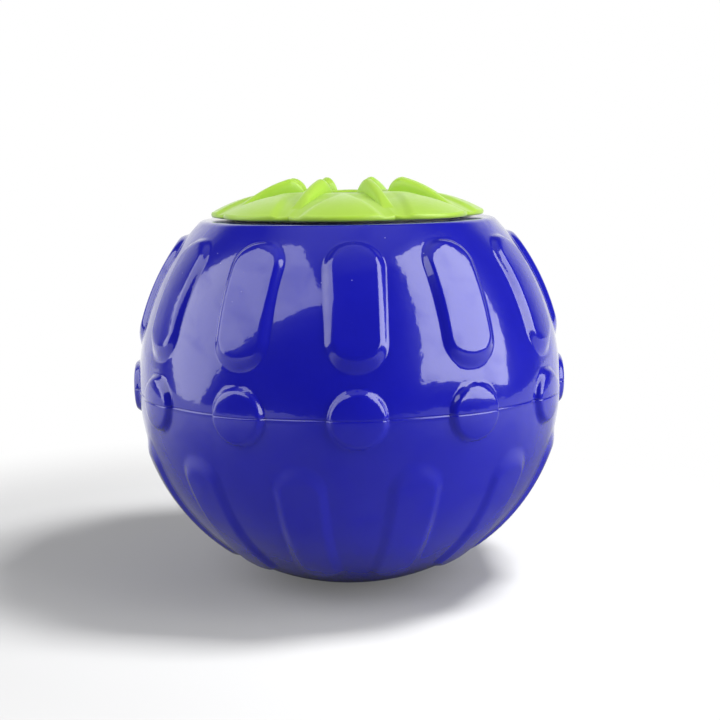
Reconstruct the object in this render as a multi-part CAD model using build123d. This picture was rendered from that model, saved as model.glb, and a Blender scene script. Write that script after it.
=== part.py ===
from build123d import *
import os
from math import atan2, cos, degrees, radians, sqrt

# A treat ball for a dog: a hollow ball of two moulded halves with a twist-lock flower lid on top.
# The foot stands on z = 0 and the ball's axis is +Z. One button faces -Y.

# Ball
BALL_R = 50.0              # plain ball at the equator, between the buttons
UPPER_RISE = 53.9          # vertical half axis of the upper half
LOWER_DROP = 48.5          # vertical half axis of the lower half
WALL = 4.0                 # wall of both halves
FOOT_R = 10.5              # flat foot that the ball stands on
FOOT_DEPTH = 47.0          # foot below the equator
HAUNCH_R = 28.0            # radius at which the round wall turns into the flatter base
SEAT_RISE = 39.5           # flat top under the lid, above the equator
SHOULDER_FILLET = 2.2      # rounding between the flat top and the side
MOUTH_R = 28.0             # round mouth in the flat top

# Tongue and groove of the seam
TONGUE_WIDTH = 1.4
TONGUE_HEIGHT = 2.2
BOND_GAP = 0.05            # room for the bond between two fixed pieces

# Buttons on the equator, and the long pads above and below them
PAD_COUNT = 12
BUTTON_R = 6.5
BUTTON_RISE = 2.1
BUTTON_ROUND = 1.9         # rounding of the button's edge
UPPER_PAD_LOW = 9.9        # degrees above the equator
UPPER_PAD_HIGH = 45.0
UPPER_PAD_WIDTH = 13.4
UPPER_PAD_RISE = 1.6
LOWER_PAD_HIGH = 11.7      # degrees below the equator
LOWER_PAD_LOW = 49.0
LOWER_PAD_WIDTH = 11.6
LOWER_PAD_RISE = 1.0
PAD_ROUND = 2.4            # rounding of the long pads' edges

# Neck ring, bonded into the mouth
NECK_DROP = 10.5           # its height below the flat top
NECK_FLANGE_WIDTH = 2.5    # flange that sits under the ceiling of the ball
NECK_FLANGE_THICKNESS = 1.6
LEDGE_THICKNESS = 3.5      # ledge that the lugs turn under
LUG_COUNT = 3
LUG_ARC = 32.0             # degrees
LUG_REACH = 2.8            # lug beyond the spigot
LUG_THICKNESS = 2.4
LOCK_TURN = 40.0           # degrees from open to locked
STOP_ARC = 8.0             # degrees, the stops at the two ends of that turn
LOOSE_ARC = 2.0            # degrees of play beside a lug
RUN_GAP = 0.3              # room between the lid and what it moves past

# Lid core and gasket
SPIGOT_R = 22.3
SPIGOT_WALL = 2.5
SPIGOT_DROP = 9.0          # spigot below the flat top
GASKET_THICKNESS = 0.9
GASKET_WIDTH = 4.2
CORE_FLANGE_R = 27.0
CORE_FLANGE_THICKNESS = 1.2
CORE_PLATE_THICKNESS = 2.6
KEY_R = 16.0               # key ring that locks the soft flower to the core
KEY_WIDTH = 3.0
KEY_RISE = 2.2

# Flower cover
PETAL_COUNT = 8
FLOWER_TURN = 18.2         # degrees from the button that faces -Y to the next fin
PETAL_TIP_R = 32.4
PETAL_VALLEY_R = 30.4
PETAL_LIFT = 0.6           # rim of the flower above the flat top
PETAL_EDGE = 1.0           # thickness of the rim at a petal's tip
CROWN_RISE = 5.7           # top of the crown above the rim's underside
CROWN_R = 15.0             # the crown is level inside this radius
PETAL_ARCH_R = 36.0        # round back of each petal, across
PETAL_ARCH_TURN = 66.0     # degrees of that arch
OUTLET_R = 10.5
FIN_THICKNESS = 3.0
FIN_RISE = 8.8             # top of the fins above the rim's underside
FIN_TOP_R = 14.4           # radius at which a fin is highest
FIN_ROUND = 3.3            # rounding of a fin's top towards the outlet
FIN_MID_R = 20.5
FIN_MID_RISE = 6.5
FIN_FOOT_R = 28.0
FIN_FOOT_RISE = 1.6
STEADY_WIDTH = 11.0        # rounded feet under the valleys that steady the rim
STEADY_DEPTH = 2.4
STEADY_DROP = 0.3

# Treat gate and its ring
GATE_THICKNESS = 1.6
GATE_FINGERS = 8
GATE_TIP_R = 6.6           # clear way between the finger tips
GATE_SLIT = 1.4
GATE_ROOT_R = 12.0         # the fingers start here, at the edge of the core's hole
GATE_RING_WIDTH = 4.6
GATE_RING_THICKNESS = 3.2

# Heights and radii that follow
EQUATOR_Z = FOOT_DEPTH
SEAT_Z = EQUATOR_Z + SEAT_RISE
CEILING_Z = SEAT_Z - WALL
RIM_Z = SEAT_Z + PETAL_LIFT
CROWN_Z = RIM_Z + CROWN_RISE
GASKET_TOP_Z = SEAT_Z + GASKET_THICKNESS
FLANGE_TOP_Z = GASKET_TOP_Z + CORE_FLANGE_THICKNESS
PLATE_LOW_Z = FLANGE_TOP_Z - CORE_PLATE_THICKNESS
GATE_LOW_Z = PLATE_LOW_Z - GATE_THICKNESS
LEDGE_LOW_Z = SEAT_Z - LEDGE_THICKNESS
LUG_TOP_Z = LEDGE_LOW_Z - RUN_GAP
LUG_LOW_Z = LUG_TOP_Z - LUG_THICKNESS
SPIGOT_LOW_Z = SEAT_Z - SPIGOT_DROP
NECK_LOW_Z = SEAT_Z - NECK_DROP
SPIGOT_BORE_R = SPIGOT_R - SPIGOT_WALL
LEDGE_R = SPIGOT_R + RUN_GAP
LUG_R = SPIGOT_R + LUG_REACH
LUG_BORE_R = LUG_R + RUN_GAP
NECK_R = MOUTH_R - BOND_GAP
TONGUE_IN_R = BALL_R - (WALL + TONGUE_WIDTH) / 2
TONGUE_OUT_R = TONGUE_IN_R + TONGUE_WIDTH
FRONT = -90.0              # degrees about +Z from +X to -Y
FULL_TURN = 360.0
BEYOND = 2.0               # how far a cutter passes the face that it cuts


def at(radius, height):
    """Point of an outline in the XZ plane."""
    return (radius, 0, height)


def ring(inner, outer, low, high, middle=0.0, arc=FULL_TURN):
    """Ring about +Z between two radii and two heights, or the arc of it about a middle angle."""
    middle_point = Pos((inner + outer) / 2, (low + high) / 2)
    outline = Plane.XZ * middle_point * Rectangle(outer - inner, high - low)
    return Rot(0, 0, middle - arc / 2) * revolve(outline, Axis.Z, arc)


def around(count, first=FRONT):
    """Evenly spaced angles about the axis, in degrees."""
    return [first + index * FULL_TURN / count for index in range(count)]


def copies(piece, count, first=FRONT):
    """Copies of a piece on +X, turned to evenly spaced angles about the axis."""
    return [Rot(0, 0, angle) * piece for angle in around(count, first)]


def half_point(rise, tilt):
    """Radius and height of a half's outline, seen from the equator's centre at a tilt in degrees."""
    direction = Vector(1, 0).rotate(Axis.Z, tilt)
    reach = 1 / sqrt((direction.X / BALL_R) ** 2 + (direction.Y / rise) ** 2)
    return direction.X * reach, direction.Y * reach


def half_radius(rise, height, extra=0.0):
    """Radius of a half at a height from the equator, on a skin moved out by extra."""
    return (BALL_R + extra) * sqrt(1 - (height / (rise + extra)) ** 2)


def half_arc(rise, height, extra=0.0):
    """Arc of a half's outline from the equator to a height, negative below, on a skin moved out by extra."""
    end = degrees(atan2(height / (rise + extra), half_radius(rise, height, extra) / (BALL_R + extra)))
    arc = EllipticalCenterArc((0, 0), BALL_R + extra, rise + extra, max(0, end), arc_size=-abs(end))
    return Plane.XZ * Pos(0, EQUATOR_Z) * arc


def upper_body(extra, top_rise):
    """Solid upper half, on a skin moved out by extra and cut flat at a height above the equator."""
    top_r = half_radius(UPPER_RISE, top_rise, extra)
    top_z = EQUATOR_Z + top_rise
    outline = [
        half_arc(UPPER_RISE, top_rise, extra),
        Line(at(top_r, top_z), at(0, top_z)),
        Line(at(0, top_z), at(0, EQUATOR_Z)),
        Line(at(0, EQUATOR_Z), at(BALL_R + extra, EQUATOR_Z)),
    ]
    return revolve(make_face(outline), Axis.Z)


def lower_body(extra):
    """Solid lower half with its flatter base and foot, on a skin moved out by extra."""
    haunch_r = HAUNCH_R * (BALL_R + extra) / BALL_R
    haunch = (LOWER_DROP + extra) * sqrt(1 - (haunch_r / (BALL_R + extra)) ** 2)
    steep = (LOWER_DROP + extra) ** 2 * haunch_r / ((BALL_R + extra) ** 2 * haunch)
    haunch_end = at(haunch_r, EQUATOR_Z - haunch)
    foot_z = EQUATOR_Z - FOOT_DEPTH - extra
    outline = [
        half_arc(LOWER_DROP, -haunch, extra),
        Line(at(BALL_R + extra, EQUATOR_Z), at(0, EQUATOR_Z)),
        Line(at(0, EQUATOR_Z), at(0, foot_z)),
        Line(at(0, foot_z), at(FOOT_R, foot_z)),
        TangentArc(haunch_end, at(FOOT_R, foot_z), tangent=(-1, 0, -steep)),
    ]
    return revolve(make_face(outline), Axis.Z)


def pad(half_axis, start_tilt, end_tilt, width, skin):
    """Long round-ended pad on +X between two tilts of a half's outline, cut from a raised skin."""
    start_r, start_h = half_point(half_axis, start_tilt)
    end_r, end_h = half_point(half_axis, end_tilt)
    run = Vector(end_r - start_r, 0, end_h - start_h)
    middle = Vector((start_r + end_r) / 2, 0, EQUATOR_Z + (start_h + end_h) / 2)
    outward = Vector(run.Z, 0, -run.X) * (1 if run.Z > 0 else -1)
    plane = Plane(origin=middle - outward.normalized() * WALL, x_dir=run, z_dir=outward)
    block = extrude(plane * SlotOverall(run.length, width), BALL_R / 2) & skin
    top = block.faces().sort_by(Axis(middle, outward))[-1]
    return fillet(top.edges(), PAD_ROUND)


def button():
    """Round button on the equator at +X, domed with the ball and rounded at its edge."""
    dome_r = BALL_R + BUTTON_RISE
    root_r = (TONGUE_OUT_R + BOND_GAP + sqrt(BALL_R ** 2 - BUTTON_R ** 2)) / 2
    edge_r = sqrt(dome_r ** 2 - BUTTON_R ** 2)
    half_way = Vector(dome_r + edge_r, BUTTON_R).normalized() * dome_r
    edge = at(edge_r, EQUATOR_Z + BUTTON_R)
    outline = [
        Line(at(root_r, EQUATOR_Z), at(root_r, EQUATOR_Z + BUTTON_R)),
        Line(at(root_r, EQUATOR_Z + BUTTON_R), edge),
        ThreePointArc(edge, at(half_way.X, EQUATOR_Z + half_way.Y), at(dome_r, EQUATOR_Z)),
        Line(at(dome_r, EQUATOR_Z), at(root_r, EQUATOR_Z)),
    ]
    profile = make_face(outline).face()
    corner = profile.vertices().sort_by_distance(edge)[0]
    return revolve(profile.fillet_2d(BUTTON_ROUND, [corner]), Axis(at(0, EQUATOR_Z), (1, 0, 0)))


def half_space(low, high):
    """Block that holds everything between two heights."""
    side = 4 * BALL_R
    return Pos(0, 0, (low + high) / 2) * Box(side, side, high - low)


def upper_shell():
    """Upper half of the ball: pads, half buttons, flat top with the mouth, groove of the seam."""
    body = upper_body(0, SEAT_RISE)
    body = fillet(body.edges().sort_by(Axis.Z)[-1], SHOULDER_FILLET)
    body -= upper_body(-WALL, SEAT_RISE - WALL)
    body -= ring(0, MOUTH_R, CEILING_Z - BEYOND, SEAT_Z + BEYOND)
    groove_top = EQUATOR_Z + TONGUE_HEIGHT + BOND_GAP
    body -= ring(TONGUE_IN_R - BOND_GAP, TONGUE_OUT_R + BOND_GAP, EQUATOR_Z - BEYOND, groove_top)
    skin = upper_body(UPPER_PAD_RISE, SEAT_RISE) - upper_body(-WALL / 2, SEAT_RISE)
    long_pad = pad(UPPER_RISE, UPPER_PAD_LOW, UPPER_PAD_HIGH, UPPER_PAD_WIDTH, skin)
    half_button = button() & half_space(EQUATOR_Z, SEAT_Z)
    return body + copies(long_pad, PAD_COUNT) + copies(half_button, PAD_COUNT)


def lower_shell():
    """Lower half of the ball: pads half a step round, half buttons, foot, tongue of the seam."""
    body = lower_body(0) - lower_body(-WALL)
    body += ring(TONGUE_IN_R, TONGUE_OUT_R, EQUATOR_Z - TONGUE_HEIGHT, EQUATOR_Z + TONGUE_HEIGHT)
    skin = lower_body(LOWER_PAD_RISE) - lower_body(-WALL / 2)
    long_pad = pad(LOWER_DROP, -LOWER_PAD_HIGH, -LOWER_PAD_LOW, LOWER_PAD_WIDTH, skin)
    half_button = button() & half_space(0, EQUATOR_Z)
    half_step = FULL_TURN / PAD_COUNT / 2
    return body + copies(long_pad, PAD_COUNT, FRONT + half_step) + copies(half_button, PAD_COUNT)


def neck_ring():
    """Stiff ring in the mouth: flange under the ceiling, ledge with slots, stops for the lugs."""
    flange_r = NECK_R + NECK_FLANGE_WIDTH
    body = ring(LUG_BORE_R, NECK_R, NECK_LOW_Z, SEAT_Z)
    body += ring(LUG_BORE_R, flange_r, CEILING_Z - NECK_FLANGE_THICKNESS, CEILING_Z)
    body += ring(LEDGE_R, NECK_R, LEDGE_LOW_Z, SEAT_Z)
    slot_arc = LUG_ARC + 2 * LOOSE_ARC
    slot = ring(LEDGE_R - BEYOND, LUG_BORE_R, LEDGE_LOW_Z - BEYOND, SEAT_Z + BEYOND, 0, slot_arc)
    body -= copies(slot, LUG_COUNT)
    stop_offset = (slot_arc + STOP_ARC) / 2
    for middle in (stop_offset, -stop_offset - LOCK_TURN):
        stop = ring(LEDGE_R, NECK_R, LUG_LOW_Z, LEDGE_LOW_Z, middle, STOP_ARC)
        body += copies(stop, LUG_COUNT)
    return body


def lid_gasket():
    """Soft flat ring round the spigot, on top of the neck ring."""
    return ring(LEDGE_R, LEDGE_R + GASKET_WIDTH, SEAT_Z, GASKET_TOP_Z)


def lid_core():
    """Stiff core of the lid: flange, plate with the outlet, spigot with lugs, key ring."""
    body = ring(GATE_ROOT_R, SPIGOT_R, PLATE_LOW_Z, FLANGE_TOP_Z)
    body += ring(GATE_ROOT_R, CORE_FLANGE_R, GASKET_TOP_Z, FLANGE_TOP_Z)
    body += ring(SPIGOT_BORE_R, SPIGOT_R, SPIGOT_LOW_Z, FLANGE_TOP_Z)
    body += ring(KEY_R - KEY_WIDTH, KEY_R, PLATE_LOW_Z, FLANGE_TOP_Z + KEY_RISE)
    lug = ring(SPIGOT_BORE_R, LUG_R, LUG_LOW_Z, LUG_TOP_Z, 0, LUG_ARC)
    return body + copies(lug, LUG_COUNT)


def petal():
    """One petal on +X: an arched back over a flat underside, inside its round outline."""
    drop = CROWN_RISE - PETAL_EDGE
    span = PETAL_TIP_R - CROWN_R
    slope_r = (span ** 2 + drop ** 2) / (2 * drop)
    end_r = PETAL_TIP_R + BEYOND
    end_z = CROWN_Z - slope_r + sqrt(slope_r ** 2 - (end_r - CROWN_R) ** 2)
    axis_z = CROWN_Z - PETAL_ARCH_R
    low_z = axis_z + PETAL_ARCH_R / 2
    slope = TangentArc(at(CROWN_R, CROWN_Z), at(end_r, end_z), tangent=(1, 0, 0))
    outline = [
        Line(at(0, CROWN_Z), at(CROWN_R, CROWN_Z)),
        slope,
        Line(at(end_r, end_z), at(end_r, low_z)),
        Line(at(end_r, low_z), at(0, low_z)),
        Line(at(0, low_z), at(0, CROWN_Z)),
    ]
    arch_axis = Axis(at(0, axis_z), (1, 0, 0))
    start_face = make_face(outline).rotate(arch_axis, -PETAL_ARCH_TURN / 2)
    arched = revolve(start_face, arch_axis, PETAL_ARCH_TURN)
    half_step = radians(FULL_TURN / PETAL_COUNT / 2)
    reach = PETAL_TIP_R - PETAL_VALLEY_R * cos(half_step)
    tip_centre = (PETAL_TIP_R ** 2 - PETAL_VALLEY_R ** 2) / 2 / reach
    plan = Pos(tip_centre, 0, RIM_Z) * extrude(Circle(PETAL_TIP_R - tip_centre), FIN_RISE)
    return arched & plan


def fin():
    """One upright finger fin on +X, from the outlet's edge down to the rim."""
    inner_r = FIN_TOP_R - FIN_ROUND
    inner_top = at(inner_r, RIM_Z + FIN_RISE - FIN_ROUND)
    top = at(FIN_TOP_R, RIM_Z + FIN_RISE)
    foot = at(FIN_FOOT_R, RIM_Z + FIN_FOOT_RISE)
    outline = [
        Line(at(inner_r, RIM_Z), inner_top),
        TangentArc(inner_top, top, tangent=(0, 0, 1)),
        ThreePointArc(top, at(FIN_MID_R, RIM_Z + FIN_MID_RISE), foot),
        Line(foot, at(FIN_FOOT_R, RIM_Z)),
        Line(at(FIN_FOOT_R, RIM_Z), at(inner_r, RIM_Z)),
    ]
    return extrude(make_face(outline), FIN_THICKNESS / 2, both=True)


def steady_foot():
    """Rounded foot on +X under a valley of the flower, just clear of the flat top."""
    half_width = STEADY_WIDTH / 2
    outer_r = PETAL_VALLEY_R - RUN_GAP
    plane = Plane(origin=(outer_r - STEADY_DEPTH, 0, RIM_Z), x_dir=(0, 1, 0), z_dir=(1, 0, 0))
    outline = [
        ThreePointArc((-half_width, 0), (0, -STEADY_DROP), (half_width, 0)),
        Line((half_width, 0), (half_width, PETAL_EDGE / 2)),
        Line((half_width, PETAL_EDGE / 2), (-half_width, PETAL_EDGE / 2)),
        Line((-half_width, PETAL_EDGE / 2), (-half_width, 0)),
    ]
    return extrude(plane * make_face(outline), STEADY_DEPTH)


def flower_cover():
    """Soft top of the lid: petals, fins in the valleys between them, outlet, seat for the core."""
    half_step = FULL_TURN / PETAL_COUNT / 2
    fins_first = FRONT + FLOWER_TURN
    petals = copies(petal(), PETAL_COUNT, fins_first + half_step)
    body = petals[0] + petals[1:]
    body += copies(fin(), PETAL_COUNT, fins_first)
    body += copies(steady_foot(), PETAL_COUNT, fins_first)
    body -= ring(0, OUTLET_R, RIM_Z - BEYOND, RIM_Z + FIN_RISE + BEYOND)
    body -= ring(0, CORE_FLANGE_R + BOND_GAP, RIM_Z - BEYOND, FLANGE_TOP_Z)
    key_in_r = KEY_R - KEY_WIDTH - BOND_GAP
    return body - ring(key_in_r, KEY_R + BOND_GAP, RIM_Z, FLANGE_TOP_Z + KEY_RISE + BOND_GAP)


def treat_gate():
    """Soft diaphragm under the outlet, slit into fingers that hold the treats back."""
    body = ring(GATE_TIP_R, SPIGOT_BORE_R - BOND_GAP, GATE_LOW_Z, PLATE_LOW_Z)
    slit_length = GATE_ROOT_R - GATE_TIP_R + BEYOND
    slit_middle = Pos((GATE_ROOT_R + GATE_TIP_R - BEYOND) / 2, 0, (GATE_LOW_Z + PLATE_LOW_Z) / 2)
    slit = slit_middle * Box(slit_length, GATE_SLIT, GATE_THICKNESS + BEYOND)
    return body - copies(slit, GATE_FINGERS)


def gate_ring():
    """Stiff ring that holds the gate up against the core's plate."""
    outer = SPIGOT_BORE_R - BOND_GAP
    return ring(outer - GATE_RING_WIDTH, outer, GATE_LOW_Z - GATE_RING_THICKNESS, GATE_LOW_Z)


os.makedirs("parts", exist_ok=True)
for make in (
    upper_shell, lower_shell, neck_ring,
    lid_gasket, lid_core, flower_cover, treat_gate, gate_ring,
):
    export_step(make(), f"parts/{make.__name__}.step")
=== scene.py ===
"""Dresses a treat ball for a dog: two glossy vinyl halves under a soft flower lid, in a small studio."""

from __future__ import annotations

import logging
import math
from collections.abc import Callable
from dataclasses import dataclass, field
from enum import Enum

import bmesh
import bpy
import numpy as np
from mathutils import Matrix, Vector


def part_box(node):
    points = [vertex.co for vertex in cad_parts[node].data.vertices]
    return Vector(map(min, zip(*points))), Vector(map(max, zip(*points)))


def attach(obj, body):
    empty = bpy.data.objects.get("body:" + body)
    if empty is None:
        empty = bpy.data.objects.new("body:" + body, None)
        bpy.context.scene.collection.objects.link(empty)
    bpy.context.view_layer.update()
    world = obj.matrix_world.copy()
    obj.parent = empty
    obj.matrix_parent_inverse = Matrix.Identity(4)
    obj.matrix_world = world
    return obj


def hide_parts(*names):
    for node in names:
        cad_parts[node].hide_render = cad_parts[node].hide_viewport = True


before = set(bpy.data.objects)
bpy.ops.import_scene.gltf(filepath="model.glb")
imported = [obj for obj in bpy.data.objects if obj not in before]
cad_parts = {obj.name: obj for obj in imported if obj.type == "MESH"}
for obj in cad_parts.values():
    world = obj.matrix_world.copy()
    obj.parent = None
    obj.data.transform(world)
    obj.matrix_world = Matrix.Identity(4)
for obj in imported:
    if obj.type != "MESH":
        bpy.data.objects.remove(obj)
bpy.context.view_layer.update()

LOG = logging.getLogger("treat_ball")
MM = 0.001
FRONT = math.radians(-90)  # the button that faces -Y
QUARTER_TURN = math.pi / 2
FULL_TURN = 2 * math.pi
SMOOTH_LIMIT = math.radians(38)  # edges sharper than this keep a crease
MOST_NOISE = (0.3, 0.7)  # nearly all values of a noise lie between these
TINY = 0.001  # keeps a division away from zero
WHITE = "#FFFFFF"

Colour = tuple[float, float, float, float]
Ramp = tuple[float, float, float, float]  # where it starts and ends, then its two levels
Pair = tuple[float, float]
Grid = np.ndarray
Sockets = dict[str | int, object]  # an input's name or number, with its value or the output that feeds it
Tree = bpy.types.NodeTree
Socket = bpy.types.NodeSocket
Material = bpy.types.Material
Piece = bpy.types.Object


class Body(Enum):
    """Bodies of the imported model."""

    BALL = "ball"
    SEAL = "seal"
    LID = "lid"


class Half(Enum):
    """The two mouldings of the ball, named as their CAD nodes."""

    UPPER = "upper_shell"
    LOWER = "lower_shell"


class Rise(Enum):
    """How a ramp goes from its first level to its second."""

    STRAIGHT = "LINEAR"
    SOFT = "SMOOTHSTEP"


def linear(code: str) -> Colour:
    """Turns an sRGB hex colour into the linear values that shaders take.

    Args:
        code: colour such as "#1A2B3C".

    Returns:
        Linear red, green, blue and an alpha of 1.
    """
    shares = [int(code[place:place + 2], 16) / 255 for place in (1, 3, 5)]
    red, green, blue = (s / 12.92 if s <= 0.04045 else ((s + 0.055) / 1.055) ** 2.4 for s in shares)
    return red, green, blue, 1.0


def fill(tree: Tree, node: bpy.types.Node, sockets: Sockets) -> None:
    """Sets values and links on a node.

    Args:
        tree: tree of the node.
        node: the node.
        sockets: values and links of its inputs.
    """
    for key, value in sockets.items():
        if isinstance(value, Socket):
            tree.links.new(value, node.inputs[key])
        else:
            node.inputs[key].default_value = value


def add(tree: Tree, kind: str, sockets: Sockets | None = None, **settings: str) -> bpy.types.NodeOutputs:
    """Adds a node with its settings, values and links.

    Args:
        tree: tree that gets the node.
        kind: type of the node.
        sockets: values and links of its inputs.
        settings: properties of the node.

    Returns:
        The outputs of the new node.
    """
    node = tree.nodes.new(kind)
    for name, value in settings.items():
        setattr(node, name, value)
    fill(tree, node, sockets or {})
    return node.outputs


def combine(tree: Tree, operation: str, first: Socket | float, second: Socket) -> Socket:
    """Adds an operation on two numbers."""
    return add(tree, "ShaderNodeMath", {0: first, 1: second}, operation=operation)[0]


def blend(tree: Tree, share: Socket, first: Socket | Colour, second: Colour) -> Socket:
    """Adds a mix of two colours, by the share of the second one."""
    return add(tree, "ShaderNodeMix", {0: share, 6: first, 7: second}, data_type="RGBA")[2]


def ramp(tree: Tree, value: Socket, limits: Ramp, rise: Rise = Rise.STRAIGHT) -> Socket:
    """Adds a ramp over a value."""
    sockets = {"Value": value, **dict(enumerate(limits, start=1))}
    return add(tree, "ShaderNodeMapRange", sockets, interpolation_type=rise.value)[0]


def noise(tree: Tree, place: Socket, size: float, detail: int, distortion: float = 0.0) -> Socket:
    """Adds a noise with blotches of a size in metres, and finer layers for detail."""
    sockets = {"Vector": place, "Scale": 1 / size, "Detail": detail, "Distortion": distortion}
    return add(tree, "ShaderNodeTexNoise", sockets)[0]


def bump(tree: Tree, height: Socket, depth: float, under: Socket | None = None) -> Socket:
    """Adds relief.

    Args:
        tree: tree that gets the node.
        height: height of the relief, from 0 to 1.
        depth: its full depth, in metres.
        under: normal of the coarser relief that it lies on.

    Returns:
        The normal.
    """
    sockets = {"Height": height, "Distance": depth, "Strength": 1.0}
    if under is not None:
        sockets["Normal"] = under
    return add(tree, "ShaderNodeBump", sockets)[0]


def smooth_step(low: float, high: float, value: Grid) -> Grid:
    """Rises from 0 at low to 1 at high, level at both ends."""
    share = np.clip((value - low) / (high - low), 0.0, 1.0)
    return share * share * (3.0 - 2.0 * share)


def line(start: Pair, end: Pair, count: int = 2) -> Grid:
    """Evenly spaced outline points (radius, height) from start up to but not including end."""
    share = np.linspace(0, 1, count, endpoint=False)[:, None]
    return np.array(start) * (1 - share) + np.array(end) * share


def arc(centre: Pair, radii: Pair, start: float, end: float, count: int) -> Grid:
    """Outline points along an arc of an ellipse between two angles, without the last one."""
    angle = np.linspace(start, end, count, endpoint=False)
    return np.stack([centre[0] + radii[0] * np.cos(angle), centre[1] + radii[1] * np.sin(angle)], axis=1)


def sector_mesh(name: str, rows: Grid, walls: int = 0) -> bpy.types.Mesh:
    """Mesh of a grid of points, with a face in each cell and the last row joined to the first.

    Args:
        name: name of the mesh.
        rows: points in millimetres, rows by columns by 3.
        walls: rows at both ends of the grid between whose sides a wall is closed.

    Returns:
        The mesh, in metres.
    """
    count, across = rows.shape[:2]
    index = np.arange(count * across).reshape(count, across)
    following = np.roll(index, -1, axis=0)
    corners = [index[:, :-1], index[:, 1:], following[:, 1:], following[:, :-1]]
    faces = np.stack(corners, axis=-1).reshape(-1, 4)
    for side in (index[:, 0], index[:, -1]):
        for row in range(walls):
            wall = [side[row], side[row + 1], side[-2 - row], side[-1 - row]]
            faces = np.concatenate([faces, [wall]])
    mesh = bpy.data.meshes.new(name)
    mesh.from_pydata((rows.reshape(-1, 3) * MM).tolist(), [], faces.tolist())
    return mesh


def spun(points: Grid, angle: float) -> Grid:
    """Points turned about +Z by an angle in radians."""
    return points @ np.array(Matrix.Rotation(angle, 3, "Z")).T


def turned(radius: Grid, height: Grid, angle: Grid) -> Grid:
    """Points at radii, heights and angles about +Z, with x, y and z in the last place."""
    return np.stack(np.broadcast_arrays(radius * np.cos(angle), radius * np.sin(angle), height), axis=-1)


@dataclass(frozen=True)
class SectorRepeat:
    """Geometry Nodes tree that turns copies of one sector about +Z into a whole round piece."""

    title: str = "sector_repeat"
    weld: float = 0.002 * MM

    def tree(self) -> Tree:
        """Builds the tree, or finds the one that was built before.

        Returns:
            The node tree, with the inputs Sector, Copies, Weld Distance and Finish.
        """
        found = bpy.data.node_groups.get(self.title)
        if found:
            return found
        tree = bpy.data.node_groups.new(self.title, "GeometryNodeTree")
        inputs = {"Sector": "Geometry", "Copies": "Int", "Weld Distance": "Float", "Finish": "Material"}
        for name, kind in inputs.items():
            tree.interface.new_socket(name, in_out="INPUT", socket_type=f"NodeSocket{kind}")
        tree.interface.new_socket("Piece", in_out="OUTPUT", socket_type="NodeSocketGeometry")
        given = add(tree, "NodeGroupInput")
        number = add(tree, "GeometryNodeInputIndex")[0]
        step = combine(tree, "DIVIDE", FULL_TURN, given["Copies"])
        angle = combine(tree, "MULTIPLY", number, step)
        turn = add(tree, "FunctionNodeAxisAngleToRotation", {"Axis": (0, 0, 1), "Angle": angle})[0]
        places = add(tree, "GeometryNodePoints", {"Count": given["Copies"]})[0]
        copied = {"Points": places, "Instance": given["Sector"], "Rotation": turn}
        copies = add(tree, "GeometryNodeInstanceOnPoints", copied)[0]
        real = add(tree, "GeometryNodeRealizeInstances", {"Geometry": copies})[0]
        joined = {"Geometry": real, "Distance": given["Weld Distance"]}
        welded = add(tree, "GeometryNodeMergeByDistance", joined)[0]
        dressed = {"Geometry": welded, "Material": given["Finish"]}
        add(tree, "NodeGroupOutput", {"Piece": add(tree, "GeometryNodeSetMaterial", dressed)[0]})
        return tree

    def whole(self, name: str, sector: bpy.types.Mesh, copies: int, finish: Material) -> Piece:
        """Turns a sector into a whole piece with a plain mesh.

        Args:
            name: name of the piece.
            sector: mesh of one sector, in its place.
            copies: sectors in a full turn.
            finish: material of the piece.

        Returns:
            The piece, at the origin.
        """
        piece = bpy.data.objects.new(name, sector)
        bpy.context.scene.collection.objects.link(piece)
        modifier = piece.modifiers.new(self.title, "NODES")
        modifier.node_group = self.tree()
        values = {"Copies": copies, "Weld Distance": self.weld, "Finish": finish}
        for socket in modifier.node_group.interface.items_tree:
            if socket.name in values:
                modifier[socket.identifier] = values[socket.name]
        graph = bpy.context.evaluated_depsgraph_get()
        mesh = bpy.data.meshes.new_from_object(piece.evaluated_get(graph))
        piece.modifiers.remove(modifier)
        piece.data = mesh
        mesh.name = name
        self.face_outward(mesh)
        return piece

    @staticmethod
    def face_outward(mesh: bpy.types.Mesh) -> None:
        """Points the faces outward and shades them smooth, with creases kept."""
        shell = bmesh.new()
        shell.from_mesh(mesh)
        bmesh.ops.recalc_face_normals(shell, faces=shell.faces)
        shell.to_mesh(mesh)
        shell.free()
        mesh.shade_smooth()
        mesh.set_sharp_from_angle(angle=SMOOTH_LIMIT)


REPEAT = SectorRepeat()


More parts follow.
